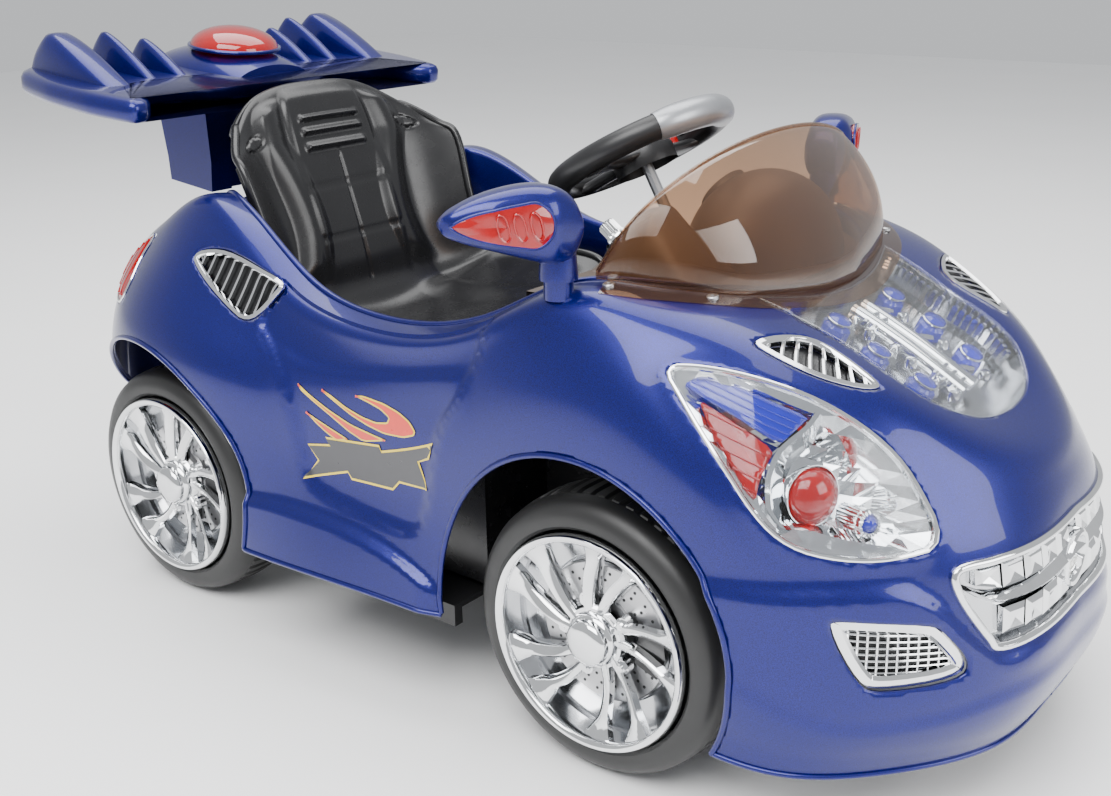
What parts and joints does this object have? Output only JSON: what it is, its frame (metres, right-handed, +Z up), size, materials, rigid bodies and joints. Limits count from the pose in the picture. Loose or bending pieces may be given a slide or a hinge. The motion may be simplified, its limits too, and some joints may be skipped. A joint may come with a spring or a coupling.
{
  "type": "battery ride-on car",
  "caption": "Child's battery ride-on car with moulded blue body, black seat, steering wheel, tinted windscreen, clear engine cover, chrome trim and a rear wing.",
  "frame": {"origin": "on the ground under the middle of the car", "axes": "+X to the car's front, +Y to its left side, +Z up"},
  "size_m": [1.1145, 0.6083, 0.5838],
  "materials": {
    "body_blue": "deep blue metallic, clear-coated",
    "black_plastic": "satin black, blow moulded",
    "tread_plastic": "satin black with ribbed tread",
    "chrome_plastic": "bright vacuum-metallised plastic",
    "clear_plastic": "clear polished",
    "bronze_plastic": "smoked bronze, polished",
    "red_plastic": "clear red, polished",
    "blue_clear_plastic": "clear blue, polished",
    "silver_plastic": "satin silver paint",
    "steel": "zinc plated",
    "grey_plastic": "plain grey"
  },
  "bodies": {
    "car": {"battery": "grey_plastic", "body_shell": "body_blue", "chassis": "black_plastic", "cockpit_tub": "black_plastic", "control_box": "grey_plastic", "dashboard": "black_plastic", "engine_block": "chrome_plastic", "engine_caps_left": "blue_clear_plastic", "engine_caps_right": "blue_clear_plastic", "engine_cover": "clear_plastic", "fog_grille_left": "chrome_plastic", "fog_grille_right": "chrome_plastic", "front_beam": "black_plastic", "front_grille": "chrome_plastic", "gearbox_left": "black_plastic", "gearbox_right": "black_plastic", "grille_badge": "chrome_plastic", "headlight_bowl_left": "chrome_plastic", "headlight_bowl_right": "chrome_plastic", "headlight_lamp_left": "red_plastic", "headlight_lamp_right": "red_plastic", "headlight_lens_left": "clear_plastic", "headlight_lens_right": "clear_plastic", "hood_vent_left": "chrome_plastic", "hood_vent_right": "chrome_plastic", "motor_left": "steel", "motor_right": "steel", "rear_axle": "steel", "seat": "black_plastic", "shoulder_vent_left": "chrome_plastic", "shoulder_vent_right": "chrome_plastic", "spoiler_lamp": "red_plastic", "spoiler_stand": "body_blue", "spoiler_wing": "body_blue", "tail_light_left": "red_plastic", "tail_light_right": "red_plastic", "windscreen": "bronze_plastic"},
    "steering": {"steering_wheel": "black_plastic", "wheel_grip": "silver_plastic", "steering_shaft": "steel"},
    "horn": {"horn_button": "black_plastic"},
    "music": {"music_button": "black_plastic"},
    "accelerator": {"pedal": "silver_plastic"},
    "knob": {"dash_knob": "chrome_plastic"},
    "switch": {"direction_switch": "red_plastic"},
    "track_rod": {"tie_rod": "steel"},
    "front_knuckle_right": {"knuckle_right": "steel"},
    "front_wheel_right": {"front_tyre_right": "tread_plastic", "front_hubcap_right": "chrome_plastic"},
    "rear_wheel_right": {"rear_tyre_right": "tread_plastic", "rear_hubcap_right": "chrome_plastic"},
    "mirror_right": {"mirror_housing_right": "body_blue", "mirror_indicator_right": "red_plastic"},
    "front_knuckle_left": {"knuckle_left": "steel"},
    "front_wheel_left": {"front_tyre_left": "tread_plastic", "front_hubcap_left": "chrome_plastic"},
    "rear_wheel_left": {"rear_tyre_left": "tread_plastic", "rear_hubcap_left": "chrome_plastic"},
    "mirror_left": {"mirror_housing_left": "body_blue", "mirror_indicator_left": "red_plastic"}
  },
  "joints": [
    {"name": "steering_turn", "type": "hinge", "parent": "car", "child": "steering", "pos_m": [0.123, 0, 0.487], "axis": [-0.5, 0, 0.866], "range_deg": [-31, 31]},
    {"name": "knuckle_turn_right", "type": "hinge", "parent": "car", "child": "front_knuckle_right", "pos_m": [0.245, -0.168, 0.125], "axis": [0, 0, 1], "range_deg": [-18.6, 18.6]},
    {"name": "front_wheel_spin_right", "type": "hinge", "parent": "front_knuckle_right", "child": "front_wheel_right", "pos_m": [0.245, -0.205, 0.125], "axis": [0, 1, 0], "continuous": true},
    {"name": "rear_wheel_spin_right", "type": "hinge", "parent": "car", "child": "rear_wheel_right", "pos_m": [-0.315, -0.205, 0.125], "axis": [0, 1, 0], "continuous": true},
    {"name": "mirror_swivel_right", "type": "hinge", "parent": "car", "child": "mirror_right", "pos_m": [0.199, -0.218, 0.44], "axis": [0, 0, 1], "range_deg": [-30, 15]},
    {"name": "knuckle_turn_left", "type": "hinge", "parent": "car", "child": "front_knuckle_left", "pos_m": [0.245, 0.168, 0.125], "axis": [0, 0, 1], "range_deg": [-18.6, 18.6]},
    {"name": "front_wheel_spin_left", "type": "hinge", "parent": "front_knuckle_left", "child": "front_wheel_left", "pos_m": [0.245, 0.205, 0.125], "axis": [0, 1, 0], "continuous": true},
    {"name": "rear_wheel_spin_left", "type": "hinge", "parent": "car", "child": "rear_wheel_left", "pos_m": [-0.315, 0.205, 0.125], "axis": [0, 1, 0], "continuous": true},
    {"name": "mirror_swivel_left", "type": "hinge", "parent": "car", "child": "mirror_left", "pos_m": [0.199, 0.218, 0.44], "axis": [0, 0, 1], "range_deg": [-25, 40]},
    {"name": "track_rod_slide", "type": "slide", "parent": "car", "child": "track_rod", "axis": [0, 1, 0], "range_m": [-0.016, 0.016]},
    {"name": "horn_press", "type": "slide", "parent": "steering", "child": "horn", "axis": [0.5, 0, -0.866], "range_m": [0, 0.002], "stiffness_N_per_m": 800, "springref_m": -0.001},
    {"name": "music_press", "type": "slide", "parent": "steering", "child": "music", "axis": [0.5, 0, -0.866], "range_m": [0, 0.002], "stiffness_N_per_m": 800, "springref_m": -0.001},
    {"name": "accelerator_press", "type": "hinge", "parent": "car", "child": "accelerator", "pos_m": [0.119, -0.06, 0.123], "axis": [0, 1, 0], "range_deg": [0, 10], "stiffness_Nm_per_rad": 0.6, "springref_deg": -11.46},
    {"name": "knob_turn", "type": "hinge", "parent": "car", "child": "knob", "pos_m": [0.163, -0.086, 0.423], "axis": [-0.8, 0, 0.6], "range_deg": [-60, 60]},
    {"name": "switch_rock", "type": "hinge", "parent": "car", "child": "switch", "pos_m": [0.168, 0.108, 0.4018], "axis": [0, 1, 0], "range_deg": [-8, 8]}
  ],
  "couplings": [
    {"joint": "knuckle_turn_right", "follows": "steering_turn", "ratio": 0.594},
    {"joint": "knuckle_turn_left", "follows": "steering_turn", "ratio": 0.594},
    {"joint": "track_rod_slide", "follows": "steering_turn", "m_per_rad": -0.029}
  ]
}
